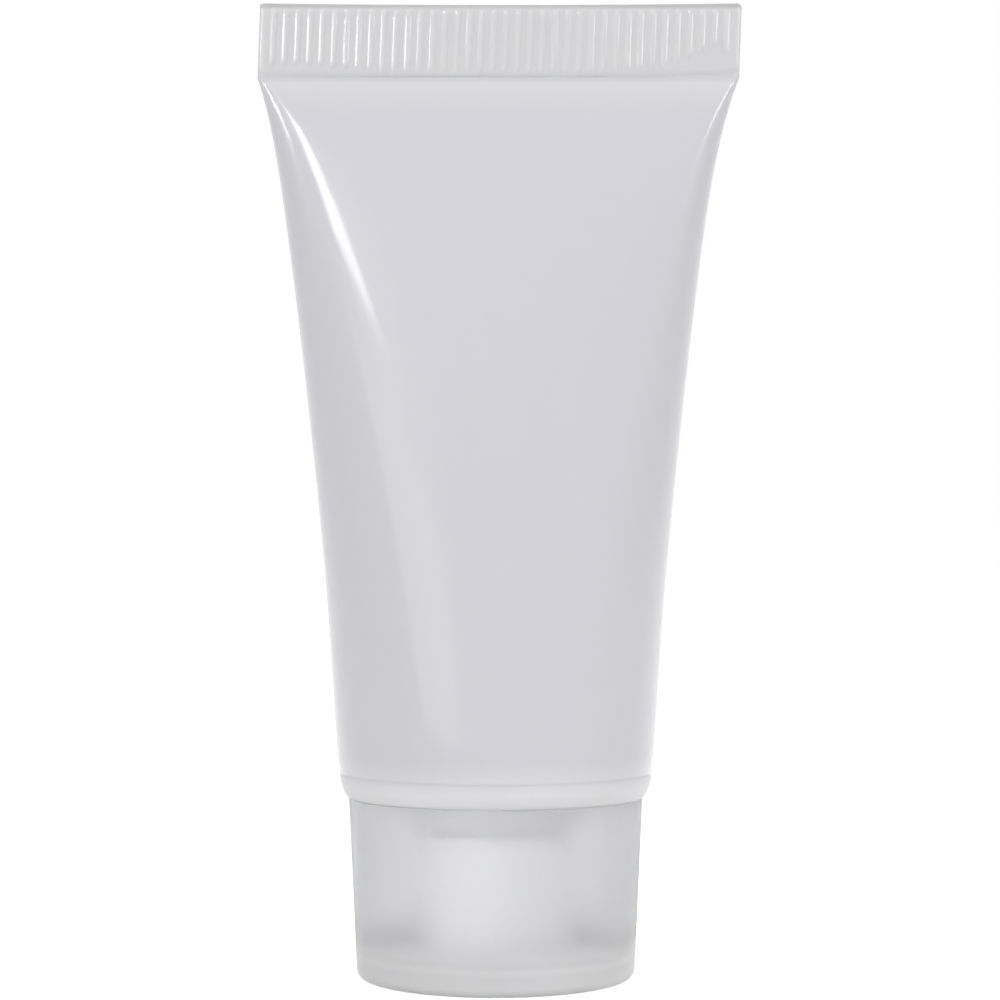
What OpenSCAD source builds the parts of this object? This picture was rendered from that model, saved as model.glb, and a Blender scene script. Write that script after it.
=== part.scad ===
// Small soft squeeze tube with a screw cap, standing on the cap.
// Origin at the middle of the cap's closed end, +Z up, the flat seal along X.

/* [Sleeve] */
// Outside diameter of the tube at its round end
tube_d = 19; // [16:0.5:24]
// Thickness of the soft sleeve's wall
sleeve_wall = 0.45; // [0.35:0.05:0.6]
// Height from the head to the foot of the flat seal
sleeve_len = 42.4; // [34:0.2:60]
// How evenly the sleeve flattens over its height, 1 for a straight taper
flare_power = 1.11; // [1:0.01:1.6]
// Share of the flattening that happens close to the seal
snap_share = 0.17; // [0.05:0.01:0.25]
// How close to the seal that share happens
snap_power = 11.6; // [6:0.2:16]
// Outward bow of the flattened sides, as a share of their half width
crown_share = 0.4; // [0.1:0.05:0.5]

/* [Seal] */
// Height of the flat seal
seal_h = 4.5; // [3:0.1:7]
// Thickness that the two films lose where they are pressed together
seal_press = 0.16; // [0.04:0.02:0.24]
// Distance from one pressed rib to the next
rib_pitch = 0.747; // [0.6:0.001:1.2]
// Width of a rib at its foot
rib_w = 0.4; // [0.2:0.02:0.5]
// Height that a rib stands out of the seal
rib_rise = 0.13; // [0.06:0.01:0.16]
// Plain margin above the ribs
rib_top_gap = 0.4; // [0.2:0.05:0.8]
// Plain margin below the ribs
rib_foot_gap = 0.55; // [0.3:0.05:1]
// Plain margin beside the ribs
rib_side_gap = 0.55; // [0.2:0.05:1]

/* [Head] */
// Height of the rounded foot below the sleeve
foot_h = 1.5; // [1:0.1:2.2]
// How far the foot comes in at its lower edge
foot_in = 0.5; // [0.3:0.05:0.8]
// Thickness of the shoulder
shoulder_t = 1.1; // [0.8:0.1:1.6]
// Slope of the cone between the shoulder and the neck
cone_deg = 30; // [24:1:34]
// Outside diameter of the neck without its thread
neck_d = 6.9; // [6.4:0.1:7.4]
// Length of the neck, from its end to the foot of the cone
neck_len = 6.4; // [5.6:0.1:8]
// Diameter of the channel inside the neck
channel_d = 4.4; // [3.6:0.1:5]
// Diameter of the outlet
outlet_d = 3; // [1.6:0.1:3.4]
// Length of the outlet
outlet_len = 1; // [0.6:0.1:1.5]
// Height of the collar that the sleeve is welded around
collar_h = 1.2; // [0.8:0.1:1.6]
// Wall of the collar
collar_wall = 0.6; // [0.4:0.05:0.8]

/* [Thread] */
// Height gained in one turn
lead = 2; // [1.8:0.1:2.2]
// Height of the thread above the neck
thread_rise = 0.5; // [0.35:0.05:0.55]
// Width of the thread at its foot
thread_foot = 1; // [0.7:0.05:1.1]
// Width of the thread at its crest
thread_crest = 0.4; // [0.2:0.05:0.5]
// Plain length of the neck at both ends of its thread
thread_lead_in = 0.6; // [0.3:0.1:0.8]
// Radial clearance between the two threads
thread_gap = 0.15; // [0.1:0.01:0.25]

/* [Cap] */
// How far the cap's rim is set in from the edge of the head's foot
rim_step = 0.05; // [0:0.05:0.3]
// How much smaller the cap's radius is at its closed end than at its rim
cap_taper = 0.5; // [0.2:0.05:0.9]
// Wall of the cap's skirt
cap_wall = 0.9; // [0.7:0.05:1.1]
// Thickness of the cap's closed end
cap_floor = 1.5; // [1:0.1:1.8]
// Wall of the boss that holds the thread
boss_wall = 0.7; // [0.5:0.05:0.9]
// Distance from the top of the boss to the shoulder's cone above it
boss_clear = 0.8; // [0.6:0.1:1.2]
// Radius of the edge around the closed end
end_round = 0.4; // [0.2:0.05:0.8]
// Radius of the fillets inside the cap and under the shoulder
fillet_r = 0.5; // [0.2:0.05:0.6]
// Radius of the small moulded edges
edge_round = 0.15; // [0.05:0.05:0.25]
// Gap between the cap's rim and the shoulder
rim_gap = 0.15; // [0.05:0.05:0.4]

/* [Liner] */
// Thickness of the sealing disc
liner_t = 0.5; // [0.3:0.05:0.8]
// Gap around the sealing disc
liner_gap = 0.2; // [0.1:0.05:0.4]

/* [Filling] */
// Gap that keeps the filling clear of the plastic around it
fill_gap = 0.03; // [0.02:0.01:0.1]
// Gap that keeps the sleeve clear of the head's collar
weld_gap = 0.04; // [0.03:0.01:0.06]

/* [Hidden] */
$fn = 96;
film = [0.86, 0.86, 0.88];
moulded = [0.84, 0.84, 0.86];
filling = [0.93, 0.92, 0.9];

// Radii and thicknesses
tube_r = tube_d / 2;
bore_r = tube_r - sleeve_wall;
mid_r = tube_r - sleeve_wall / 2;
foot_r = tube_r - foot_in;
collar_r = bore_r - weld_gap;
neck_r = neck_d / 2;
channel_r = channel_d / 2;
outlet_r = outlet_d / 2;
nut_r = neck_r + thread_rise + thread_gap;
boss_r = nut_r + boss_wall;
rim_r = foot_r - rim_step;
end_r = rim_r - cap_taper;
land_r = rim_r - cap_wall - edge_round;
seal_t = 2 * sleeve_wall - seal_press;

// Heights
neck_z = cap_floor + liner_t;
function cone_z(r) = neck_z + neck_len + (r - neck_r) * tan(cone_deg);
shoulder_z = cone_z(land_r);
cap_h = shoulder_z - rim_gap;
sleeve_z = shoulder_z + foot_h;
seal_z = sleeve_z + sleeve_len;
boss_z = cone_z(boss_r) - boss_clear;
thread_z = neck_z + thread_lead_in + thread_foot / 2;
thread_turns = (neck_len - 2 * thread_lead_in - thread_foot) / lead;
// The cap's thread starts this far round, so that it lies between the turns of the neck's
nut_from = -150;

// Fineness of the meshes
ring_points = 64;
outer_steps = 20;
inner_steps = 14;
thread_steps = 24;
fade_steps = 4;
arc_steps = 6;
// Height share at which the inside of the sleeve closes
inside_share = 0.985;
// Height share at which the filling ends
fill_share = 0.97;
// How far joined shapes reach into each other
bite = 0.3;
// Smallest half width that a section keeps, so that its outline stays defined
least = 0.001;

// Points of an arc about a centre
function arc(centre, r, from, to) =
    [for (i = [0:arc_steps])
        let (a = from + (to - from) * i / arc_steps)
        [centre[0] + r * cos(a), centre[1] + r * sin(a)]];

// The sleeve's section is a circle swept round a flat ellipse, so that it goes from round to flat.
// The film doesn't stretch, so the way round its middle is the same at every height.
// Length of the way round an ellipse
function ellipse_rim(l, b) = PI * (3 * (l + b) - sqrt((3 * l + b) * (l + 3 * b)));
// Half width of the flat part where the sleeve is closed
flat_end = (mid_r - sleeve_wall / 2) * 2 * PI / ellipse_rim(1, 0);
seal_half = flat_end + sleeve_wall;
function flat_half(t) =
    max(least, flat_end * ((1 - snap_share) * pow(t, flare_power) + snap_share * pow(t, snap_power)));
function bow(t) = max(least, crown_share * flat_half(t) * (1 - t));
function bend_r(t) = mid_r - ellipse_rim(flat_half(t), bow(t)) / (2 * PI);

// The collar leans in, because the sleeve around it is already a little flat at the collar's top
collar_t = collar_h / sleeve_len;
collar_top_r = bend_r(collar_t) + bow(collar_t) - sleeve_wall / 2 - weld_gap;
collar_in_r = collar_top_r - collar_wall;

// One point of a section, at an angle, with the film's middle moved out by a distance
function section_point(t, out, angle) =
    let (l = flat_half(t), b = bow(t), m = bend_r(t))
    let (across = (b + m) * cos(angle), deep = (l + m) * sin(angle))
    let (nx = across / norm([across, deep]), ny = deep / norm([across, deep]))
    let (q = norm([l * nx, b * ny]))
    [(m + out) * nx + l * l * nx / q, (m + out) * ny + b * b * ny / q, sleeve_z + sleeve_len * t];
function section(t, out) =
    [for (i = [0:ring_points - 1]) section_point(t, out, 360 * i / ring_points)];

// Height shares of the rings, closer together near the seal
function rings(from, to, steps) =
    [for (i = [0:steps]) from + (to - from) * (1 - pow(1 - i / steps, 1.5))];

// Height shares of the rings inside the sleeve, of which the filling takes those in the middle
fill_start = (collar_h + fill_gap) / sleeve_len;
inside_t = concat([0], rings(fill_start, inside_share, inner_steps));

// Triangles between two neighbouring rings of points, facing out
function wall_faces(low, high) =
    [for (i = [0:ring_points - 1])
        let (j = (i + 1) % ring_points)
        each [[low + i, high + i, high + j], [low + i, high + j, low + j]]];
function flipped(faces) = [for (f = faces) [f[2], f[1], f[0]]];

// A closed body through a stack of rings
module loft(stack) {
    count = len(stack);
    polyhedron(
        points = [for (ring = stack) each ring],
        faces = concat(
            [[for (i = [0:ring_points - 1]) i]],
            [for (k = [0:count - 2]) each wall_faces(k * ring_points, (k + 1) * ring_points)],
            [[for (i = [ring_points - 1:-1:0]) (count - 1) * ring_points + i]]
        )
    );
}

// The sleeve's shell, open at the head and closed at the seal
module shell() {
    outer = [for (t = rings(0, 1, outer_steps)) section(t, sleeve_wall / 2)];
    inner = [for (t = inside_t) section(t, -sleeve_wall / 2)];
    inner_rings = len(inner) - 1;
    lid = [for (p = outer[outer_steps]) p + [0, 0, bite]];
    stack = concat(outer, [lid], inner);
    lid_at = (outer_steps + 1) * ring_points;
    inner_at = lid_at + ring_points;
    inner_end = inner_at + inner_rings * ring_points;
    polyhedron(
        points = [for (ring = stack) each ring],
        faces = concat(
            [for (k = [0:outer_steps]) each wall_faces(k * ring_points, (k + 1) * ring_points)],
            [[for (i = [ring_points - 1:-1:0]) lid_at + i]],
            [for (k = [0:inner_rings - 1])
                each flipped(wall_faces(inner_at + k * ring_points, inner_at + (k + 1) * ring_points))],
            [[for (i = [0:ring_points - 1]) inner_end + i]],
            flipped(wall_faces(0, inner_at))
        )
    );
}

// Outline of the seal seen from above, plain
module seal_outline() {
    r = seal_t / 2;
    polygon(concat(arc([seal_half - r, 0], r, -90, 90), arc([r - seal_half, 0], r, 90, 270)));
}

// Outline of the seal with its ribs, which stand out of both faces
module ribbed_outline() {
    count = floor((2 * (seal_half - rib_side_gap) - rib_w) / rib_pitch);
    y = seal_t / 2;
    rib = [[-rib_w / 2, -y], [-rib_w / 4, -y - rib_rise], [rib_w / 4, -y - rib_rise], [rib_w / 2, -y]];
    front = [for (i = [0:count], p = rib) p + [(i - count / 2) * rib_pitch, 0]];
    back = [for (i = [len(front) - 1:-1:0]) [front[i][0], -front[i][1]]];
    polygon(concat(front, back));
}

// A helical thread, faded out at both ends, on a wall of root_r and up to crest_r.
// It runs along the common helix, raised by a height, from one angle to another.
module thread(root_r, crest_r, raise, from) {
    count = round(thread_turns * thread_steps);
    away = sign(crest_r - root_r);
    buried = root_r - away * bite;
    sunk = root_r - away * thread_gap / 2;
    profile = [[0, -thread_foot / 2], [1, -thread_crest / 2], [1, thread_crest / 2], [0, thread_foot / 2]];
    points = [for (i = [0:count])
        let (angle = from + 360 * i / thread_steps)
        let (fade = min(1, i / fade_steps, (count - i) / fade_steps))
        let (z = thread_z + raise + lead * angle / 360)
        each [for (p = profile)
            let (r = p[0] == 0 ? buried : sunk + (crest_r - sunk) * fade)
            [r * cos(angle), r * sin(angle), z + p[1]]]];
    sides = [for (i = [0:count - 1], k = [0:3])
        let (a = 4 * i + k, b = 4 * i + (k + 1) % 4)
        each [[a, a + 4, b + 4], [a, b + 4, b]]];
    faces = concat([[0, 1, 2, 3]], sides, [[4 * count + 3, 4 * count + 2, 4 * count + 1, 4 * count]]);
    polyhedron(
        points = points,
        faces = away < 0 ? faces : [for (f = faces) [for (i = [len(f) - 1:-1:0]) f[i]]]
    );
}

// Screw cap: tapered skirt, closed end, and a boss with the thread inside
module cap() {
    lean = atan((rim_r - end_r) / cap_h);
    function outside_r(z) = end_r + (rim_r - end_r) * z / cap_h;
    profile = concat(
        [[0, 0]],
        arc([outside_r(end_round) - end_round, end_round], end_round, -90, -lean),
        arc([rim_r - edge_round, cap_h - edge_round], edge_round, 0, 90),
        arc([rim_r - cap_wall + edge_round, cap_h - edge_round], edge_round, 90, 180),
        arc([outside_r(cap_floor) - cap_wall - fillet_r, cap_floor + fillet_r], fillet_r, 0, -90),
        arc([boss_r + fillet_r, cap_floor + fillet_r], fillet_r, -90, -180),
        arc([boss_r - edge_round, boss_z - edge_round], edge_round, 0, 90),
        arc([nut_r + edge_round, boss_z - edge_round], edge_round, 90, 180),
        [[nut_r, cap_floor], [0, cap_floor]]
    );
    color(moulded) {
        rotate_extrude()
            polygon(profile);
        thread(nut_r, neck_r + thread_gap, lead / 2, nut_from);
    }
}

// Sealing disc that lies loose in the cap
module liner() {
    color(filling)
        translate([0, 0, cap_floor])
            cylinder(r = nut_r - liner_gap, h = liner_t);
}

// Moulded head: rounded foot, shoulder, cone and threaded neck with the outlet
module head() {
    foot_round = (foot_h * foot_h + foot_in * foot_in) / (2 * foot_in);
    sweep = asin(foot_h / foot_round);
    root_z = cone_z(neck_r + fillet_r);
    inner_z = shoulder_z + shoulder_t;
    profile = concat(
        [[outlet_r, neck_z]],
        arc([neck_r - edge_round, neck_z + edge_round], edge_round, -90, 0),
        arc([neck_r + fillet_r, root_z - fillet_r], fillet_r, 180, 90 + cone_deg),
        [[land_r, shoulder_z], [foot_r, shoulder_z]],
        arc([tube_r - foot_round, sleeve_z], foot_round, -sweep * (arc_steps - 1) / arc_steps, 0),
        [
            [collar_r, sleeve_z],
            [collar_top_r, sleeve_z + collar_h],
            [collar_in_r, sleeve_z + collar_h],
            [collar_in_r, inner_z],
            [land_r - collar_wall, inner_z],
            [channel_r, cone_z(channel_r) + shoulder_t],
            [channel_r, neck_z + outlet_len],
            [outlet_r, neck_z + outlet_len]
        ]
    );
    color(moulded) {
        rotate_extrude()
            polygon(profile);
        thread(neck_r, neck_r + thread_rise, 0, 0);
    }
}

// Soft sleeve with its flat, ribbed seal
module sleeve() {
    color(film) {
        shell();
        translate([0, 0, seal_z])
            linear_extrude(seal_h)
                seal_outline();
        translate([0, 0, seal_z + rib_foot_gap])
            linear_extrude(seal_h - rib_foot_gap - rib_top_gap)
                ribbed_outline();
    }
}

// The filling, down to the end of the outlet
module balm() {
    collar_top = sleeve_z + collar_h + fill_gap;
    inner_z = shoulder_z + shoulder_t + fill_gap;
    inside_r = collar_in_r - fill_gap;
    color(filling) {
        rotate_extrude()
            polygon([
                [0, neck_z + fill_gap],
                [outlet_r - fill_gap, neck_z + fill_gap],
                [outlet_r - fill_gap, neck_z + outlet_len + fill_gap],
                [channel_r - fill_gap, neck_z + outlet_len + fill_gap],
                [channel_r - fill_gap, cone_z(channel_r) + shoulder_t + fill_gap],
                [land_r - collar_wall, inner_z],
                [inside_r, inner_z],
                [inside_r, collar_top + bite],
                [0, collar_top + bite]
            ]);
        loft([for (t = inside_t) if (t > 0 && t < fill_share) section(t, -sleeve_wall / 2 - fill_gap)]);
    }
}

cap();
liner();
head();
sleeve();
balm();
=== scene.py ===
# Soft squeeze tube standing on its screw cap: the fine meshes, finishes, light and camera.
# Lengths are in millimetres until make_piece() turns them into metres. +Z is up, and the
# camera looks along +Y, so the front of the tube is its -Y side.
import math

import bpy
import numpy as np
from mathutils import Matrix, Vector


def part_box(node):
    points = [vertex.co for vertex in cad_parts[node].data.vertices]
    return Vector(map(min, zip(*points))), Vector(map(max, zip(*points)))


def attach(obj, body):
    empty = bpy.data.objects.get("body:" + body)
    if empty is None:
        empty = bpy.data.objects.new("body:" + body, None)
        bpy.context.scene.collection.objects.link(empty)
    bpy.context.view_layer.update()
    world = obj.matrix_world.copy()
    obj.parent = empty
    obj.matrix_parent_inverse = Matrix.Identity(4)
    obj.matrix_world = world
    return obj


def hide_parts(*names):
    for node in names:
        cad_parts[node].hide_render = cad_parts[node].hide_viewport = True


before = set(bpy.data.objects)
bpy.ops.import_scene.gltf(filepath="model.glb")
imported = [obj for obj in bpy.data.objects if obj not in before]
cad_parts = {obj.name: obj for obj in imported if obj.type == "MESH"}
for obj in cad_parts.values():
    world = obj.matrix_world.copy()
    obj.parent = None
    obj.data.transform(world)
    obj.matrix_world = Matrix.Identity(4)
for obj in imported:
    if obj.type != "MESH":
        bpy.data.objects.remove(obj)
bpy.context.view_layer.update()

MM = 0.001
scene = bpy.context.scene
rng = np.random.default_rng(11)


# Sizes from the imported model
def corner(node, which, axis):
    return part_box(node)[which][axis] / MM


TUBE_R = corner("head", 1, 0)
NECK_Z = corner("head", 0, 2)
RIM_R = corner("cap", 1, 0)
CAP_TOP = corner("cap", 1, 2)
SLEEVE_Z = corner("sleeve", 0, 2)
TOP_Z = corner("sleeve", 1, 2)
SEAL_HALF = corner("sleeve", 1, 0)
LINER_R = corner("liner", 1, 0)
CAP_FLOOR = corner("liner", 0, 2)
LINER_TOP = corner("liner", 1, 2)

# Sizes that the part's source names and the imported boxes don't give
WALL = 0.45
SEAL_H = 4.5
SEAL_T = 2 * WALL - 0.16
FLARE_POWER = 1.11
SNAP_SHARE = 0.17
SNAP_POWER = 11.6
CROWN_SHARE = 0.4
RIBS = 38
RIB_PITCH = 0.747
RIB_W = 0.4
RIB_TOP_GAP = 0.4
FOOT_IN = 0.5
FOOT_H = 1.5
SHOULDER_T = 1.1
CONE_DEG = 30
NECK_R = 3.45
NECK_LEN = 6.4
CHANNEL_R = 2.2
OUTLET_R = 1.5
OUTLET_LEN = 1.0
COLLAR_H = 1.2
COLLAR_WALL = 0.6
LEAD = 2.0
THREAD_RISE = 0.5
THREAD_FOOT = 1.0
THREAD_CREST = 0.4
THREAD_LEAD_IN = 0.6
THREAD_FADE_DEG = 55
THREAD_GAP = 0.15
NUT_FROM = -150
CAP_TAPER = 0.5
CAP_WALL = 0.9
BOSS_WALL = 0.7
BOSS_CLEAR = 0.8
FILLET_R = 0.5
EDGE_ROUND = 0.15
FILL_GAP = 0.03
WELD_GAP = 0.04
INSIDE_SHARE = 0.985
FILL_SHARE = 0.97

# Sizes that only this scene has: the cap's rim meets the head's foot, and its boss the cone
RIM_RISE = 0.14
RIM_ROUND = 0.05
END_ROUND = 0.55
BOSS_RISE = 0.55

# Sizes that follow from them
CAP_H = CAP_TOP + RIM_RISE
SEAL_Z = TOP_Z - SEAL_H
SLEEVE_LEN = SEAL_Z - SLEEVE_Z
BORE_R = TUBE_R - WALL
MID_R = TUBE_R - WALL / 2
FOOT_R = TUBE_R - FOOT_IN
END_R = RIM_R - CAP_TAPER
NUT_R = NECK_R + THREAD_RISE + THREAD_GAP
BOSS_R = NUT_R + BOSS_WALL
LAND_R = RIM_R - CAP_WALL - EDGE_ROUND
SHOULDER_Z = SLEEVE_Z - FOOT_H
THREAD_Z = NECK_Z + THREAD_LEAD_IN + THREAD_FOOT / 2
THREAD_TURNS = (NECK_LEN - 2 * THREAD_LEAD_IN - THREAD_FOOT) / LEAD
LEAST = 0.001


def cone_z(r):
    return NECK_Z + NECK_LEN + (r - NECK_R) * math.tan(math.radians(CONE_DEG))


BOSS_Z = cone_z(BOSS_R) - BOSS_CLEAR + BOSS_RISE


# Camera: level and close to the tube. The PHOTO values are in the photograph's pixels.
PHOTO_SIDE = 1000
PHOTO_SCALE = 16.36
PHOTO_AXIS_X = 495.7
PHOTO_FLOOR_Y = 975.6
CAMERA_DISTANCE = 160.0
CAMERA_HEIGHT = 26.1
SENSOR = 36.0
CLIP_NEAR = 0.001
CLIP_FAR = 20


def make_camera():
    view_side = PHOTO_SIDE / PHOTO_SCALE
    data = bpy.data.cameras.new("camera")
    data.sensor_width = SENSOR
    data.lens = SENSOR * CAMERA_DISTANCE / view_side
    centre_z = (PHOTO_FLOOR_Y - PHOTO_SIDE / 2) / PHOTO_SCALE
    data.shift_y = (centre_z - CAMERA_HEIGHT) / view_side
    data.clip_start = CLIP_NEAR
    data.clip_end = CLIP_FAR
    camera = bpy.data.objects.new("camera", data)
    centre_x = (PHOTO_SIDE / 2 - PHOTO_AXIS_X) / PHOTO_SCALE
    camera.location = (centre_x * MM, -CAMERA_DISTANCE * MM, CAMERA_HEIGHT * MM)
    camera.rotation_euler = (math.radians(90), 0, 0)
    scene.collection.objects.link(camera)
    scene.camera = camera


# Mesh helpers
SHARP_DEG = 42
AXIS_R = 0.02


def make_piece(name, points, faces, finish, body, node):
    mesh = bpy.data.meshes.new(name)
    mesh.from_pydata((np.asarray(points) * MM).tolist(), [], faces)
    mesh.shade_smooth()
    mesh.set_sharp_from_angle(angle=math.radians(SHARP_DEG))
    piece = bpy.data.objects.new(name, mesh)
    scene.collection.objects.link(piece)
    mesh.materials.append(finish)
    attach(piece, body)
    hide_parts(node)
    return piece


def wall_faces(rows, columns, closed=False):
    """Quads over rows of points that each run once round, facing out where the rows rise."""
    faces = []
    for k in range(rows if closed else rows - 1):
        low, high = k * columns, (k + 1) % rows * columns
        for i in range(columns):
            j = (i + 1) % columns
            faces.append((low + i, low + j, high + j, high + i))
    return faces


def arc(centre, r, start, end, steps=8):
    angles = np.radians(np.linspace(start, end, steps + 1))
    return [(centre[0] + r * math.cos(a), centre[1] + r * math.sin(a)) for a in angles]


def line(start, end, step):
    """Points from start to end, both left out, about a step apart."""
    count = max(1, round(math.dist(start, end) / step))
    return [tuple(np.add(start, np.subtract(end, start) * i / count)) for i in range(1, count)]


def smooth(x):
    x = np.clip(x, 0, 1)
    return x * x * (3 - 2 * x)


THREAD_TRIES = range(-2, 5)


def disc(columns, at, down):
    """Closes a turned form with one face over a ring of points."""
    ring = range(at, at + columns)
    return [tuple(reversed(ring) if down else ring)]


def thread_height(z, angle, raised, start):
    """Height of a helical thread over a wall, for heights and angles in degrees."""
    best = np.zeros(np.broadcast(z, angle).shape)
    sweep = 360 * THREAD_TURNS
    slope = (THREAD_FOOT - THREAD_CREST) / 2
    for turn in THREAD_TRIES:
        along = angle + 360 * turn - start
        off = np.abs(z - THREAD_Z - raised - LEAD * (along + start) / 360)
        fade = smooth(np.minimum(along, sweep - along) / THREAD_FADE_DEG)
        best = np.maximum(best, smooth((THREAD_FOOT / 2 - off) / slope) * fade)
    return best * THREAD_RISE


def revolve(profile, columns, thread=None):
    """Points of a profile turned round the Z axis, and how many rows they make.
    Thread, where given, is (first, last, sign, raised, start) for the profile points it is on."""
    profile = np.array(profile)
    angle = np.arange(columns) * 360 / columns
    r = np.repeat(profile[:, :1], columns, axis=1)
    z = np.repeat(profile[:, 1:], columns, axis=1)
    if thread:
        first, last, sign, raised, start = thread
        r[first:last] += sign * thread_height(z[first:last], angle[None, :], raised, start)
    a = np.radians(angle)
    points = np.stack([r * np.cos(a), r * np.sin(a), z], axis=-1).reshape(-1, 3)
    return points, len(profile)


# The sleeve's sections: a circle swept round a flat ellipse, with the same way round at every height
def ellipse_rim(long_half, short_half):
    root = math.sqrt((3 * long_half + short_half) * (long_half + 3 * short_half))
    return math.pi * (3 * (long_half + short_half) - root)


FLAT_END = (MID_R - WALL / 2) * 2 * math.pi / ellipse_rim(1, 0)


def section_sizes(t):
    flat = max(LEAST, FLAT_END * ((1 - SNAP_SHARE) * t**FLARE_POWER + SNAP_SHARE * t**SNAP_POWER))
    bow = max(LEAST, CROWN_SHARE * flat * (1 - t))
    return flat, bow, MID_R - ellipse_rim(flat, bow) / (2 * math.pi)


# Steps in which a section's way round is measured
DENSE = 7200


def section(t, out, shares):
    """Points of a section, at shares of the way round it that start at +X."""
    flat, bow, bend = section_sizes(t)
    a = np.arange(DENSE + 1) * 2 * math.pi / DENSE
    across, deep = (bow + bend) * np.cos(a), (flat + bend) * np.sin(a)
    size = np.hypot(across, deep)
    nx, ny = across / size, deep / size
    q = np.hypot(flat * nx, bow * ny)
    x = (bend + out) * nx + flat * flat * nx / q
    y = (bend + out) * ny + bow * bow * ny / q
    way = np.concatenate([[0], np.cumsum(np.hypot(np.diff(x), np.diff(y)))])
    at = shares * way[-1]
    return np.interp(at, way, x), np.interp(at, way, y)


# Material lines round the sleeve, set by the ribs of the seal
LINE_OFFSETS = (-0.3, -0.2, -0.17, -0.11, -0.04, 0.04, 0.11, 0.17, 0.2, 0.3)
END_STEPS = 18


def seal_lines():
    """Plain outline of the seal from +X round by +Y: points, normals and shares of the way."""
    r = SEAL_T / 2
    straight = SEAL_HALF - r
    first = -(RIBS - 1) / 2 * RIB_PITCH
    xs = [first + k * RIB_PITCH + d for k in range(RIBS) for d in LINE_OFFSETS]
    xs = np.array([-straight] + xs + [straight])
    turn = np.radians(np.linspace(-90, 90, END_STEPS + 1))[1:-1]
    half = END_STEPS // 2 - 1
    right = np.stack([straight + r * np.cos(turn), r * np.sin(turn)], axis=1)
    left = np.stack([-straight - r * np.cos(turn), -r * np.sin(turn)], axis=1)
    right_n = np.stack([np.cos(turn), np.sin(turn)], axis=1)
    back = np.stack([xs[::-1], np.full(len(xs), r)], axis=1)
    front = np.stack([xs, np.full(len(xs), -r)], axis=1)
    up = np.tile([0.0, 1.0], (len(xs), 1))
    points = np.concatenate([right[half:], back, left, front, right[:half]])
    normals = np.concatenate([right_n[half:], up, -right_n, -up, right_n[:half]])
    steps = np.hypot(*np.diff(np.vstack([points, points[:1]]), axis=0).T)
    shares = np.concatenate([[0], np.cumsum(steps)[:-1]]) / steps.sum()
    return points, normals, shares


SEAL_POINTS, SEAL_NORMALS, LINES = seal_lines()

# Where the ribs end above the seal's foot, for places across the seal
RIB_FOOT_X = (-14.2, -12.5, -9.5, -7.5, 6.3, 9.0, 10.9, 11.7, 12.5, 13.2, 13.9)
RIB_FOOT_GAP = (0.55, 0.7, 0.45, 0.2, 0.2, 0.4, 0.65, 1.2, 1.6, 1.9, 1.3)

# Ribs: slope of the flanks, then their width and steepness for places across the seal
RIB_SLOPE = 0.76
RIB_FLANK_X = (-14, -8, -5, 14)
RIB_FLANK = (0.16, 0.16, 0.14, 0.14)
RIB_STEEP_X = (-14, -6, -3, 4, 7, 14)
RIB_STEEP = (1.0, 1.0, 0.9, 0.9, 1.0, 1.0)
RIB_FOOT_FADE = 0.3
RIB_TOP_FADE = 0.14
LEAN_MOST = 0.3
RISE_RANGE = (0.92, 1.08)

# The film's small departures from the plain swept form
SEAL_SHIFT = 0.33
SEAL_SHIFT_FROM = 44.0
SEAL_BLEND = 0.35
FOOT_BULGE = 0.1
FOOT_BULGE_RISE = 1.6
FOOT_BULGE_HOLD = 2.5
FOOT_BULGE_FALL = 11
TOP_DIP = 0.1
CORNER_R = 0.24
CREASE_DEPTH = 0.14
CREASE_W = 0.17
CREASE_DROP = 0.08
CREASE_CURVE = (0.16, 0.3)
CREASE_SHARE = 0.9
TOP_EDGE = 0.07
# Steps of the cut edge's rounding: how far in from the face, and down from the top
TOP_STEPS = ((0.02, 0.03), (0.07, 0.0))


def top_height(x):
    """Height of the seal's cut edge: a little hollow, with one rounded corner."""
    dip = TOP_DIP * (1 - (x / SEAL_HALF) ** 2)
    into = np.clip(x - (SEAL_HALF - CORNER_R), 0, CORNER_R)
    return TOP_Z - dip - (CORNER_R - np.sqrt(CORNER_R**2 - into**2))


def seal_shift(z):
    """How far the film leans to +X towards the seal."""
    return SEAL_SHIFT * np.clip((z - SEAL_SHIFT_FROM) / (TOP_Z - SEAL_SHIFT_FROM), 0, 1) ** 2


def foot_bulge(z):
    """How far the film swells just above the head's foot."""
    up = z - SLEEVE_Z
    falling = smooth((up - FOOT_BULGE_HOLD) / FOOT_BULGE_FALL)
    return FOOT_BULGE * smooth(up / FOOT_BULGE_RISE) * (1 - falling)


def rib_field(x, z, lean, rise):
    """How far the pressed ribs stand out of the seal.
    Lean is how much steeper a rib's flanks get up the seal, and rise how steep they are."""
    first = -(RIBS - 1) / 2 * RIB_PITCH
    k = np.clip(np.round((x - first) / RIB_PITCH).astype(int), 0, RIBS - 1)
    middle = first + k * RIB_PITCH
    flank = np.interp(x, RIB_FLANK_X, RIB_FLANK)
    bead = np.clip(RIB_W / 2 - np.abs(x - middle), 0, flank) * RIB_SLOPE
    up = (z - SEAL_Z) / SEAL_H - 0.5
    foot = SEAL_Z + np.interp(x, RIB_FOOT_X, RIB_FOOT_GAP)
    head = top_height(x) - RIB_TOP_GAP
    fade = smooth((z - foot) / RIB_FOOT_FADE) * smooth((head - z) / RIB_TOP_FADE)
    return bead * fade * (rise[k] * np.interp(x, RIB_STEEP_X, RIB_STEEP) + lean[k] * up)


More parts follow.
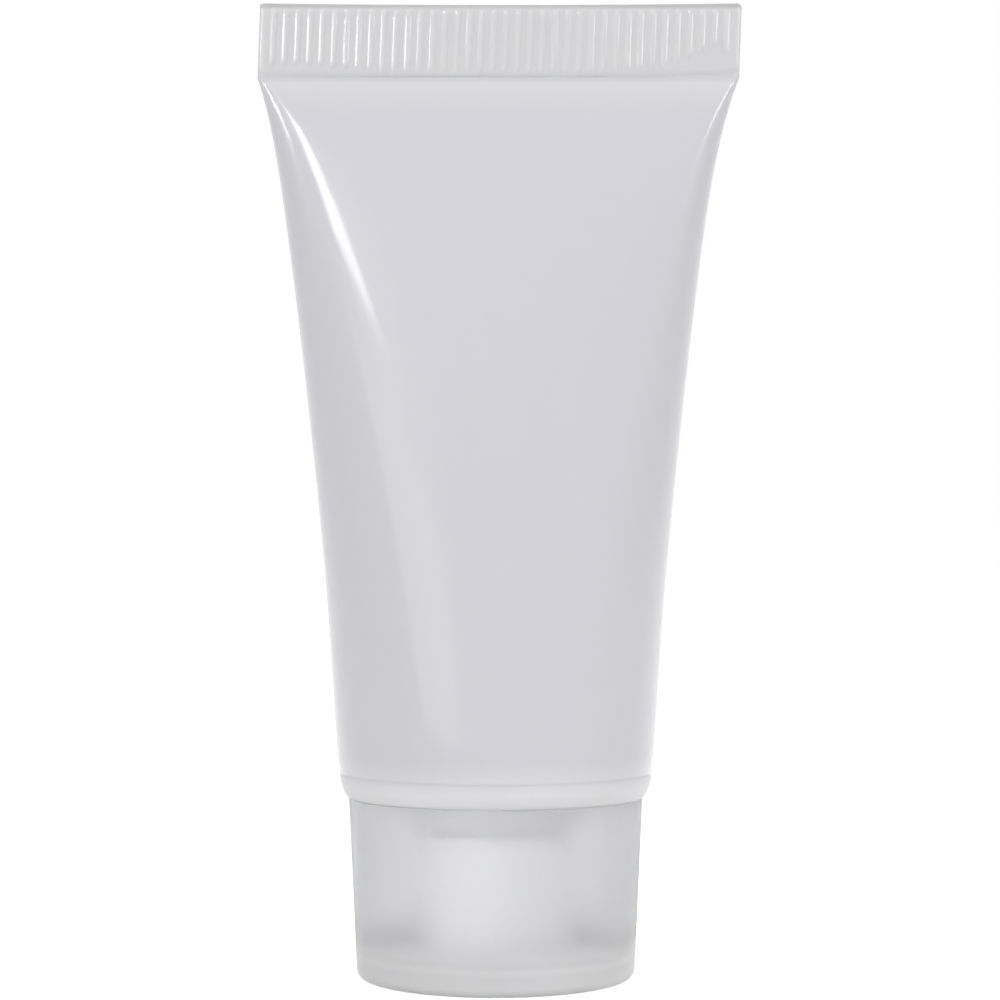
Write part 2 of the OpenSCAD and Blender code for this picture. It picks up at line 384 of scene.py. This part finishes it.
def crease(x, z):
    """Pressed line along the seal's foot, higher at both ends."""
    side = np.where(x < 0, CREASE_CURVE[0], CREASE_CURVE[1])
    middle = SEAL_Z - CREASE_DROP + side * (x / SEAL_HALF) ** 2
    return -CREASE_DEPTH * np.exp(-(((z - middle) / CREASE_W) ** 2))


BODY_ROWS = 58
SEAL_ROWS = 30
INNER_ROWS = 14
BALM_ROWS = 26
ROW_POWER = 1.5


def closing_in(steps, last=True):
    """Shares from 0 to 1 that lie closer towards 1."""
    return 1 - (1 - np.linspace(0, 1, steps, endpoint=last)) ** ROW_POWER


def make_sleeve(finish):
    columns = len(LINES)
    lean = rng.uniform(0.0, LEAN_MOST, RIBS)
    rise = rng.uniform(*RISE_RANGE, RIBS)
    rows = []
    for t in closing_in(BODY_ROWS, False):
        x, y = section(t, WALL / 2, LINES)
        z = np.full(columns, SLEEVE_Z + SLEEVE_LEN * t)
        near = smooth((t - CREASE_SHARE) / (1 - CREASE_SHARE))
        y = y + np.sign(y) * crease(x, z) * near * np.clip(np.abs(y), 0, 1)
        swell = 1 + foot_bulge(z) / TUBE_R
        x, y = x * swell, y * swell
        rows.append((x, y, z))
    flat_x, flat_y = SEAL_POINTS.T
    for share in np.linspace(0, 1 - TOP_EDGE / SEAL_H, SEAL_ROWS + 1):
        z = SEAL_Z + (top_height(flat_x) - SEAL_Z) * share
        low = 1 - smooth((z - SEAL_Z) / SEAL_BLEND)
        out = low * (WALL - SEAL_T / 2) + crease(flat_x, z) + rib_field(flat_x, z, lean, rise)
        out = out * np.abs(SEAL_NORMALS[:, 1])
        rows.append((flat_x, flat_y + np.sign(flat_y) * out, z))
    for back, down in TOP_STEPS:
        rows.append((
            flat_x - SEAL_NORMALS[:, 0] * back,
            flat_y - SEAL_NORMALS[:, 1] * back,
            top_height(flat_x) - down,
        ))
    outer = len(rows)
    fill_start = (COLLAR_H + FILL_GAP) / SLEEVE_LEN
    for t in [0, *(fill_start + (INSIDE_SHARE - fill_start) * closing_in(INNER_ROWS))]:
        x, y = section(t, -WALL / 2, LINES)
        rows.append((x, y, np.full(columns, SLEEVE_Z + SLEEVE_LEN * t)))
    points = np.array(rows).transpose(0, 2, 1).reshape(-1, 3)
    points[:, 0] += seal_shift(points[:, 2])
    faces = wall_faces(outer, columns)
    inner_at = outer * columns
    inner_rows = len(rows) - outer
    for face in wall_faces(inner_rows, columns):
        faces.append(tuple(inner_at + i for i in reversed(face)))
    for i in range(columns):
        j = (i + 1) % columns
        faces.append((i, inner_at + i, inner_at + j, j))
    faces += lid(columns, (outer - 1) * columns, False)
    faces += lid(columns, inner_at + (inner_rows - 1) * columns, True)
    return make_piece("sleeve_film", points, faces, finish, "tube", "sleeve")


def lid(columns, at, down):
    """Closes a ring that starts at +X and is the same on both sides of the X axis."""
    faces = []
    for i in range(columns // 2):
        a, b = i, i + 1
        c, d = (columns - i - 1) % columns, (columns - i) % columns
        corners = []
        for p in (a, b, c, d):
            if p not in corners:
                corners.append(p)
        if len(corners) > 2:
            faces.append(tuple(at + p for p in (reversed(corners) if down else corners)))
    return faces


CAP_COLUMNS = 256
LINER_COLUMNS = 96
BALM_COLUMNS = 160
END_RINGS = (2.5, 5, 7)
WALL_STEP = 0.5
SHELF_STEP = 0.4
BORE_STEP = 0.09
LINER_ROUND = 0.06
LIP = 0.06
FOOT_ARC_SHARE = 0.94


def outside_r(z):
    return END_R + CAP_TAPER * z / CAP_H


def make_cap(finish):
    lean = math.degrees(math.atan(CAP_TAPER / CAP_H))
    skirt_in = outside_r(CAP_FLOOR) - CAP_WALL
    outer = [(r, 0) for r in (AXIS_R, *END_RINGS)]
    outer += arc((outside_r(END_ROUND) - END_ROUND, END_ROUND), END_ROUND, -90, -lean, 10)
    outer += line(outer[-1], (RIM_R, CAP_H - RIM_ROUND), WALL_STEP)
    outer += arc((RIM_R - RIM_ROUND, CAP_H - RIM_ROUND), RIM_ROUND, 0, 90)
    outer += arc((RIM_R - CAP_WALL + EDGE_ROUND, CAP_H - EDGE_ROUND), EDGE_ROUND, 90, 180)
    outer += line(outer[-1], (skirt_in, CAP_FLOOR + FILLET_R), WALL_STEP)
    outer += arc((skirt_in - FILLET_R, CAP_FLOOR + FILLET_R), FILLET_R, 0, -90)
    outer += arc((BOSS_R + FILLET_R, CAP_FLOOR + FILLET_R), FILLET_R, -90, -180)
    outer += line(outer[-1], (BOSS_R, BOSS_Z - EDGE_ROUND), WALL_STEP)
    outer += arc((BOSS_R - EDGE_ROUND, BOSS_Z - EDGE_ROUND), EDGE_ROUND, 0, 90)
    outer += arc((NUT_R + EDGE_ROUND, BOSS_Z - EDGE_ROUND), EDGE_ROUND, 90, 180)
    first = len(outer)
    outer += line(outer[-1], (NUT_R, CAP_FLOOR), BORE_STEP)
    last = len(outer)
    outer += [(NUT_R, CAP_FLOOR), (NUT_R / 2, CAP_FLOOR), (AXIS_R, CAP_FLOOR)]
    points, rows = revolve(outer, CAP_COLUMNS, (first, last, -1, LEAD / 2, NUT_FROM))
    faces = wall_faces(rows, CAP_COLUMNS)
    faces += disc(CAP_COLUMNS, 0, True) + disc(CAP_COLUMNS, (rows - 1) * CAP_COLUMNS, False)
    return make_piece("cap_shell", points, faces, finish, "cap", "cap")


def make_liner(finish):
    rim = LINER_R - LINER_ROUND
    outer = [(AXIS_R, CAP_FLOOR), (LINER_R / 2, CAP_FLOOR)]
    outer += arc((rim, CAP_FLOOR + LINER_ROUND), LINER_ROUND, -90, 0, 4)
    outer += arc((rim, LINER_TOP - LINER_ROUND), LINER_ROUND, 0, 90, 4)
    outer += [(LINER_R / 2, LINER_TOP), (AXIS_R, LINER_TOP)]
    points, rows = revolve(outer, LINER_COLUMNS)
    faces = wall_faces(rows, LINER_COLUMNS)
    faces += disc(LINER_COLUMNS, 0, True) + disc(LINER_COLUMNS, (rows - 1) * LINER_COLUMNS, False)
    return make_piece("liner_disc", points, faces, finish, "liner", "liner")


def collar_radius():
    """Outside of the head's collar where its top meets the sleeve's flattening wall."""
    flat, bow, bend = section_sizes(COLLAR_H / SLEEVE_LEN)
    return bend + bow - WALL / 2 - WELD_GAP


def make_head(finish):
    foot_round = (FOOT_H**2 + FOOT_IN**2) / (2 * FOOT_IN)
    sweep = math.degrees(math.asin(FOOT_H / foot_round))
    root_z = cone_z(NECK_R + FILLET_R)
    inner_z = SHOULDER_Z + SHOULDER_T
    collar_top = collar_radius()
    neck_end = arc((NECK_R - EDGE_ROUND, NECK_Z + EDGE_ROUND), EDGE_ROUND, -90, 0)
    root = arc((NECK_R + FILLET_R, root_z - FILLET_R), FILLET_R, 180, 90 + CONE_DEG)
    outer = [(OUTLET_R + LIP, NECK_Z)] + neck_end
    first = len(outer)
    outer += line(neck_end[-1], root[0], BORE_STEP)
    last = len(outer)
    outer += root
    outer += line(root[-1], (LAND_R, SHOULDER_Z), WALL_STEP)
    outer += [(LAND_R, SHOULDER_Z)]
    outer += line((LAND_R, SHOULDER_Z), (FOOT_R - LIP, SHOULDER_Z), SHELF_STEP)
    outer += [(FOOT_R - LIP, SHOULDER_Z), (FOOT_R - LIP / 4, SHOULDER_Z + LIP / 3)]
    outer += arc((TUBE_R - foot_round, SLEEVE_Z), foot_round, -sweep * FOOT_ARC_SHARE, 0, 12)
    outer += [
        (BORE_R - WELD_GAP, SLEEVE_Z),
        (collar_top + LIP / 2, SLEEVE_Z + COLLAR_H - LIP),
        (collar_top - LIP, SLEEVE_Z + COLLAR_H),
        (collar_top - COLLAR_WALL + LIP, SLEEVE_Z + COLLAR_H),
        (collar_top - COLLAR_WALL, SLEEVE_Z + COLLAR_H - LIP),
        (collar_top - COLLAR_WALL, inner_z),
        (LAND_R - COLLAR_WALL, inner_z),
    ]
    channel_top = (CHANNEL_R, cone_z(CHANNEL_R) + SHOULDER_T)
    outer += line(outer[-1], channel_top, WALL_STEP)
    outer += [channel_top, (CHANNEL_R, NECK_Z + OUTLET_LEN), (OUTLET_R, NECK_Z + OUTLET_LEN)]
    outer += [(OUTLET_R, NECK_Z + LIP)]
    points, rows = revolve(outer, CAP_COLUMNS, (first, last, 1, 0, 0))
    return make_piece(
        "head_moulding", points, wall_faces(rows, CAP_COLUMNS, True), finish, "tube", "head"
    )


def make_balm(finish):
    columns = BALM_COLUMNS
    collar_in = collar_radius() - COLLAR_WALL - FILL_GAP
    inner_z = SHOULDER_Z + SHOULDER_T + FILL_GAP
    low = [
        (AXIS_R, NECK_Z + FILL_GAP),
        (OUTLET_R - FILL_GAP, NECK_Z + FILL_GAP),
        (OUTLET_R - FILL_GAP, NECK_Z + OUTLET_LEN + FILL_GAP),
        (CHANNEL_R - FILL_GAP, NECK_Z + OUTLET_LEN + FILL_GAP),
        (CHANNEL_R - FILL_GAP, cone_z(CHANNEL_R) + SHOULDER_T + FILL_GAP),
        (LAND_R - COLLAR_WALL, inner_z),
        (collar_in, inner_z),
        (collar_in, SLEEVE_Z + COLLAR_H + FILL_GAP),
    ]
    points, rows = revolve(low, columns)
    shares = np.arange(columns) / columns
    start = (COLLAR_H + FILL_GAP) / SLEEVE_LEN
    stack = [points]
    for t in start + (FILL_SHARE - start) * closing_in(BALM_ROWS):
        x, y = section(t, -WALL / 2 - FILL_GAP, shares)
        z = np.full(columns, SLEEVE_Z + SLEEVE_LEN * t)
        stack.append(np.stack([x + seal_shift(z), y, z], axis=1))
        rows += 1
    faces = wall_faces(rows, columns)
    faces += disc(columns, 0, True) + lid(columns, (rows - 1) * columns, False)
    return make_piece("balm_fill", np.concatenate(stack), faces, finish, "tube", "balm")


# Finishes. A noise's factor keeps to about NOISE_RANGE. The other ranges are in millimetres: how
# far out the cap's skirt and its outside start, and the head's foot, and the heights over which
# the skirt turns clear and takes its tint.
NOISE_RANGE = (0.3, 0.7)
SKIRT_FROM = (5.0, 5.4)
OUTSIDE_FROM = (8.0, 8.5)
FOOT_FROM = (8.3, 8.8)
CLEAR_HEIGHTS = (1.5, 3.0)
TINT_HEIGHTS = (1.2, 2.2)


class Nodes:
    """A material's node tree, with its Principled shader and object coordinates."""

    def __init__(self, name):
        self.material = bpy.data.materials.new(name)
        self.material.use_nodes = True
        self.tree = self.material.node_tree
        self.shader = self.tree.nodes["Principled BSDF"]
        self.place = self.add("ShaderNodeTexCoord").outputs["Object"]

    def add(self, kind, **values):
        node = self.tree.nodes.new(kind)
        for name, value in values.items():
            setattr(node, name, value)
        return node

    def link(self, source, target):
        self.tree.links.new(source, target)

    def noise(self, scale, stretch=(1, 1, 1)):
        mapping = self.add("ShaderNodeMapping")
        mapping.inputs["Scale"].default_value = stretch
        self.link(self.place, mapping.inputs["Vector"])
        node = self.add("ShaderNodeTexNoise")
        node.inputs["Scale"].default_value = scale
        node.inputs["Detail"].default_value = 3.0
        self.link(mapping.outputs["Vector"], node.inputs["Vector"])
        return node.outputs["Fac"]

    def near_axis(self, inner, outer):
        """0 within a radius about the Z axis and 1 beyond another, in millimetres."""
        flat = self.add("ShaderNodeVectorMath", operation="MULTIPLY")
        flat.inputs[1].default_value = (1, 1, 0)
        self.link(self.place, flat.inputs[0])
        size = self.add("ShaderNodeVectorMath", operation="LENGTH")
        self.link(flat.outputs["Vector"], size.inputs[0])
        node = self.add("ShaderNodeMapRange")
        node.inputs["From Min"].default_value = inner * MM
        node.inputs["From Max"].default_value = outer * MM
        self.link(size.outputs["Value"], node.inputs["Value"])
        return node.outputs["Result"]

    def height(self, low, high):
        """0 under one height and 1 over another, in millimetres."""
        parts = self.add("ShaderNodeSeparateXYZ")
        self.link(self.place, parts.inputs[0])
        node = self.add("ShaderNodeMapRange")
        node.inputs["From Min"].default_value = low * MM
        node.inputs["From Max"].default_value = high * MM
        self.link(parts.outputs["Z"], node.inputs["Value"])
        return node.outputs["Result"]

    def mix(self, fac, low, high):
        """A colour between two others, each given as numbers or as a socket."""
        node = self.add("ShaderNodeMix", data_type="RGBA")
        self.link(fac, node.inputs["Factor"])
        for name, value in (("A", low), ("B", high)):
            if isinstance(value, tuple):
                node.inputs[name].default_value = (*value, 1)
            else:
                self.link(value, node.inputs[name])
        return node.outputs["Result"]

    def ramp(self, low, high, stops):
        """Colours at heights in millimetres, even below the first and above the last."""
        node = self.add("ShaderNodeValToRGB")
        node.color_ramp.interpolation = "LINEAR"
        points = node.color_ramp.elements
        while len(points) < len(stops):
            points.new(0.5)
        for point, (z, colour) in zip(points, stops):
            point.position = (z - low) / (high - low)
            point.color = (*colour, 1)
        self.link(self.height(low, high), node.inputs["Fac"])
        return node.outputs["Color"]

    def paler(self, source, times):
        node = self.add("ShaderNodeVectorMath", operation="SCALE")
        node.inputs["Scale"].default_value = times
        self.link(source, node.inputs[0])
        return node.outputs["Vector"]

    def colour(self, fac, low, high):
        """Base colour, between two others."""
        self.link(self.mix(fac, low, high), self.shader.inputs["Base Color"])

    def times(self, first, second):
        node = self.add("ShaderNodeMath", operation="MULTIPLY")
        self.link(first, node.inputs[0])
        self.link(second, node.inputs[1])
        return node.outputs[0]

    def vary(self, socket, fac, low, high):
        """One of the shader's numbers, between two others."""
        node = self.add("ShaderNodeMapRange")
        node.inputs["To Min"].default_value = low
        node.inputs["To Max"].default_value = high
        self.link(fac, node.inputs["Value"])
        self.link(node.outputs["Result"], self.shader.inputs[socket])

    def roughness(self, fac, low, high):
        """Roughness that follows a noise."""
        node = self.add("ShaderNodeMapRange")
        node.inputs["From Min"].default_value = NOISE_RANGE[0]
        node.inputs["From Max"].default_value = NOISE_RANGE[1]
        node.inputs["To Min"].default_value = low
        node.inputs["To Max"].default_value = high
        self.link(fac, node.inputs["Value"])
        self.link(node.outputs["Result"], self.shader.inputs["Roughness"])

    def bump(self, *layers):
        """Layers are (height, distance in metres), laid over each other."""
        normal = None
        for height, distance in layers:
            node = self.add("ShaderNodeBump")
            node.inputs["Strength"].default_value = 1
            node.inputs["Distance"].default_value = distance
            self.link(height, node.inputs["Height"])
            if normal:
                self.link(normal, node.inputs["Normal"])
            normal = node.outputs["Normal"]
        self.link(normal, self.shader.inputs["Normal"])

    def set(self, **values):
        for name, value in values.items():
            self.shader.inputs[name.replace("_", " ")].default_value = value


def film_finish():
    nodes = Nodes("soft_film")
    # Colour of the film by height: its own grey, with painted light and shade laid in at the foot
    # and at the crease
    stops = (
        # Lighter at the foot: painted light from the bright floor below, carried on from the head's
        # foot
        (SLEEVE_Z, (0.75, 0.745, 0.775)),
        (SLEEVE_Z + 1.2, (0.67, 0.665, 0.705)),
        (SEAL_Z - 2.4, (0.64, 0.635, 0.675)),
        # Lighter just under the crease: a painted highlight where the film leans back towards the
        # light
        (SEAL_Z - 1.2, (0.66, 0.66, 0.685)),
        (SEAL_Z - 0.45, (0.69, 0.69, 0.705)),
        # Darker in the crease: painted shade
        (SEAL_Z - 0.25, (0.63, 0.63, 0.645)),
        (SEAL_Z + 0.1, (0.63, 0.63, 0.645)),
        (SEAL_Z + 0.35, (0.685, 0.685, 0.695)),
        (TOP_Z - 0.27, (0.685, 0.685, 0.695)),
        (TOP_Z - 0.2, (0.50, 0.50, 0.51)),
    )
    tone_and_painted_light = nodes.ramp(SLEEVE_Z, TOP_Z, stops)
    nodes.colour(nodes.noise(90, (1, 1, 0.5)), tone_and_painted_light, nodes.paler(tone_and_painted_light, 1.03))
    nodes.roughness(nodes.noise(1500), 0.30, 0.38)
    nodes.bump((nodes.noise(350, (1, 1, 0.25)), 0.000006), (nodes.noise(5000), 0.0000008))
    nodes.set(IOR=1.45, Coat_Weight=0.8, Coat_Roughness=0.1, Coat_IOR=1.45)
    nodes.set(Subsurface_Weight=0.3, Subsurface_Scale=0.0004, Subsurface_Radius=(1.0, 0.95, 1.0))
    return nodes.material


def cap_finish():
    nodes = Nodes("frosted_cap")
    skirt = nodes.near_axis(*SKIRT_FROM)
    clear = nodes.times(skirt, nodes.height(*CLEAR_HEIGHTS))
    # The closed end: paler within OUTSIDE_FROM, painted light that lifts the shade on the floor
    # inside the skirt; its outside stays grey
    end_painted_lift_and_grey = nodes.mix(nodes.near_axis(*OUTSIDE_FROM), (0.95, 0.95, 0.955), (0.69, 0.69, 0.70))
    shell = nodes.mix(nodes.height(*TINT_HEIGHTS), end_painted_lift_and_grey, (0.84, 0.84, 0.85))
    # The boss and centre, opaque and near white, paler than the rest of the same plastic: painted
    # light for the glow of the lit neck seen through the frosted cap
    nodes.colour(skirt, (0.98, 0.98, 0.985), shell)
    nodes.roughness(nodes.noise(900), 0.30, 0.38)
    nodes.bump((nodes.noise(7000), 0.000004))
    nodes.vary("Transmission Weight", clear, 0.0, 0.88)
    nodes.set(IOR=1.4, Subsurface_Weight=0.3, Subsurface_Scale=0.0004, Subsurface_Radius=(1, 1, 1))
    return nodes.material


def head_finish():
    nodes = Nodes("natural_head")
    # The foot paler towards its lower edge: painted light from the bright floor below
    foot = nodes.ramp(SHOULDER_Z, SLEEVE_Z, (
        (SHOULDER_Z, (0.95, 0.95, 0.96)),
        (SHOULDER_Z + 0.8, (0.88, 0.88, 0.895)),
        (SLEEVE_Z, (0.76, 0.755, 0.785)),
    ))
    # Inside the foot the cone and neck are near white: the moulding's own white, lifted to lighten
    # their shade seen through the cap, so partly painted light
    nodes.colour(nodes.near_axis(*FOOT_FROM), (0.98, 0.98, 0.985), foot)
    nodes.roughness(nodes.noise(900), 0.30, 0.36)
    nodes.bump((nodes.noise(6000), 0.000003))
    nodes.set(IOR=1.49, Subsurface_Weight=0.3, Subsurface_Scale=0.0004, Subsurface_Radius=(1, 1, 1))
    return nodes.material


def liner_finish():
    nodes = Nodes("foam_liner")
    nodes.colour(nodes.noise(900), (0.78, 0.78, 0.76), (0.86, 0.86, 0.84))
    nodes.roughness(nodes.noise(2500), 0.55, 0.75)
    nodes.bump((nodes.noise(9000), 0.00001))
    nodes.set(IOR=1.45)
    return nodes.material


def balm_finish():
    nodes = Nodes("balm")
    nodes.colour(nodes.noise(200), (0.80, 0.79, 0.76), (0.84, 0.83, 0.80))
    nodes.roughness(nodes.noise(700), 0.3, 0.42)
    nodes.bump((nodes.noise(600), 0.00003))
    nodes.set(IOR=1.45, Subsurface_Weight=0.6, Subsurface_Scale=0.002)
    return nodes.material


# Surroundings: the world's plain level, then the floor's colour, added white, half side and drop,
# which keeps it clear of the cap's underside
PLAIN_LEVEL = 0.43
FLOOR_TONE = 0.6
FLOOR_LIFT = 0.77
FLOOR_HALF = 3000
FLOOR_DROP = 0.01


def seen_directly(tree):
    """1 for camera, glossy and transmission rays, and 0 for the rest."""
    path = tree.nodes.new("ShaderNodeLightPath")
    total = path.outputs["Is Camera Ray"]
    for name in ("Is Glossy Ray", "Is Transmission Ray"):
        add = tree.nodes.new("ShaderNodeMath")
        add.operation = "ADD"
        add.use_clamp = True
        tree.links.new(total, add.inputs[0])
        tree.links.new(path.outputs[name], add.inputs[1])
        total = add.outputs[0]
    return total


def make_world():
    world = bpy.data.worlds.new("studio")
    world.use_nodes = True
    scene.world = world
    tree = world.node_tree
    tree.nodes.clear()
    light = tree.nodes.new("ShaderNodeBackground")
    light.inputs["Strength"].default_value = PLAIN_LEVEL
    light.inputs["Color"].default_value = (1, 1, 1, 1)
    white = tree.nodes.new("ShaderNodeBackground")
    white.inputs["Strength"].default_value = 1
    white.inputs["Color"].default_value = (1, 1, 1, 1)
    mix = tree.nodes.new("ShaderNodeMixShader")
    out = tree.nodes.new("ShaderNodeOutputWorld")
    tree.links.new(seen_directly(tree), mix.inputs["Fac"])
    tree.links.new(light.outputs[0], mix.inputs[1])
    tree.links.new(white.outputs[0], mix.inputs[2])
    tree.links.new(mix.outputs[0], out.inputs["Surface"])


def make_floor():
    half = FLOOR_HALF * MM
    corners = [(-half, -half, 0), (half, -half, 0), (half, half, 0), (-half, half, 0)]
    mesh = bpy.data.meshes.new("floor")
    mesh.from_pydata(corners, [], [(0, 1, 2, 3)])
    floor = bpy.data.objects.new("floor", mesh)
    floor.location.z = -FLOOR_DROP * MM
    scene.collection.objects.link(floor)
    material = bpy.data.materials.new("floor")
    material.use_nodes = True
    tree = material.node_tree
    tree.nodes.clear()
    diffuse = tree.nodes.new("ShaderNodeBsdfDiffuse")
    diffuse.inputs["Color"].default_value = (FLOOR_TONE, FLOOR_TONE, FLOOR_TONE, 1)
    lift = tree.nodes.new("ShaderNodeMath")
    lift.operation = "MULTIPLY"
    lift.inputs[1].default_value = FLOOR_LIFT
    tree.links.new(seen_directly(tree), lift.inputs[0])
    glow = tree.nodes.new("ShaderNodeEmission")
    tree.links.new(lift.outputs[0], glow.inputs["Strength"])
    both = tree.nodes.new("ShaderNodeAddShader")
    out = tree.nodes.new("ShaderNodeOutputMaterial")
    tree.links.new(diffuse.outputs[0], both.inputs[0])
    tree.links.new(glow.outputs[0], both.inputs[1])
    tree.links.new(both.outputs[0], out.inputs["Surface"])
    mesh.materials.append(material)


def bearing(left_deg, up_deg, distance, centre):
    """A place seen from a centre at a bearing to the camera's left and an elevation."""
    a, e = math.radians(left_deg), math.radians(up_deg)
    away = Vector((-math.sin(a) * math.cos(e), -math.cos(a) * math.cos(e), math.sin(e)))
    return Vector(centre) + away * distance


def make_lamp(name, place, aim, width, height, radiance, shows=True, spreads=True):
    """A lamp with sizes in millimetres. One that doesn't show has no reflection, and one that
    doesn't spread only glints, or lights what lies behind the clear skirt."""
    data = bpy.data.lights.new(name, "AREA")
    data.shape = "RECTANGLE"
    data.size = width * MM
    data.size_y = height * MM
    data.energy = radiance * math.pi * data.size * data.size_y
    lamp = bpy.data.objects.new(name, data)
    lamp.location = Vector(place) * MM
    lamp.rotation_mode = "QUATERNION"
    lamp.rotation_quaternion = (Vector(aim) - Vector(place)).to_track_quat("-Z", "Y")
    lamp.visible_camera = False
    lamp.visible_glossy = shows
    lamp.visible_diffuse = spreads
    scene.collection.objects.link(lamp)


def make_lamps():
    middle = (0, 0, 30)
    seal = (0, 0, 57)
    in_cap = (0, 0, 8)
    cap_low = (0, 0, 4)
    # The strip and the panel below it are the film's long highlight
    make_lamp("strip", (-288, -417, 348), (0, 0, 348), width=96, height=245, radiance=11)
    make_lamp("panel", bearing(36, 8, 500, (0, -6, 25)), middle, width=240, height=130, radiance=1.2)
    make_lamp("rib_left", (-68, -17.5, 70.5), seal, width=18, height=8, radiance=11, spreads=False)
    make_lamp("rib_right", (68, -17.5, 67.5), seal, width=12, height=8, radiance=8, spreads=False)
    inside = {"shows": False, "spreads": False}
    make_lamp("through_back", bearing(180, 42, 300, cap_low), cap_low, 220, 160, 4, **inside)
    make_lamp("through", bearing(24, 4, 300, in_cap), in_cap, 180, 110, 6, **inside)
    make_lamp("front_soft", bearing(15, 22, 700, middle), middle, 500, 500, 1.6, shows=False)
    make_lamp("right_soft", bearing(-75, 22, 700, middle), middle, 500, 500, 2.4, shows=False)


scene.view_settings.view_transform = "Standard"
make_camera()
make_world()
make_floor()
make_lamps()
make_cap(cap_finish())
make_liner(liner_finish())
make_head(head_finish())
make_sleeve(film_finish())
make_balm(balm_finish())
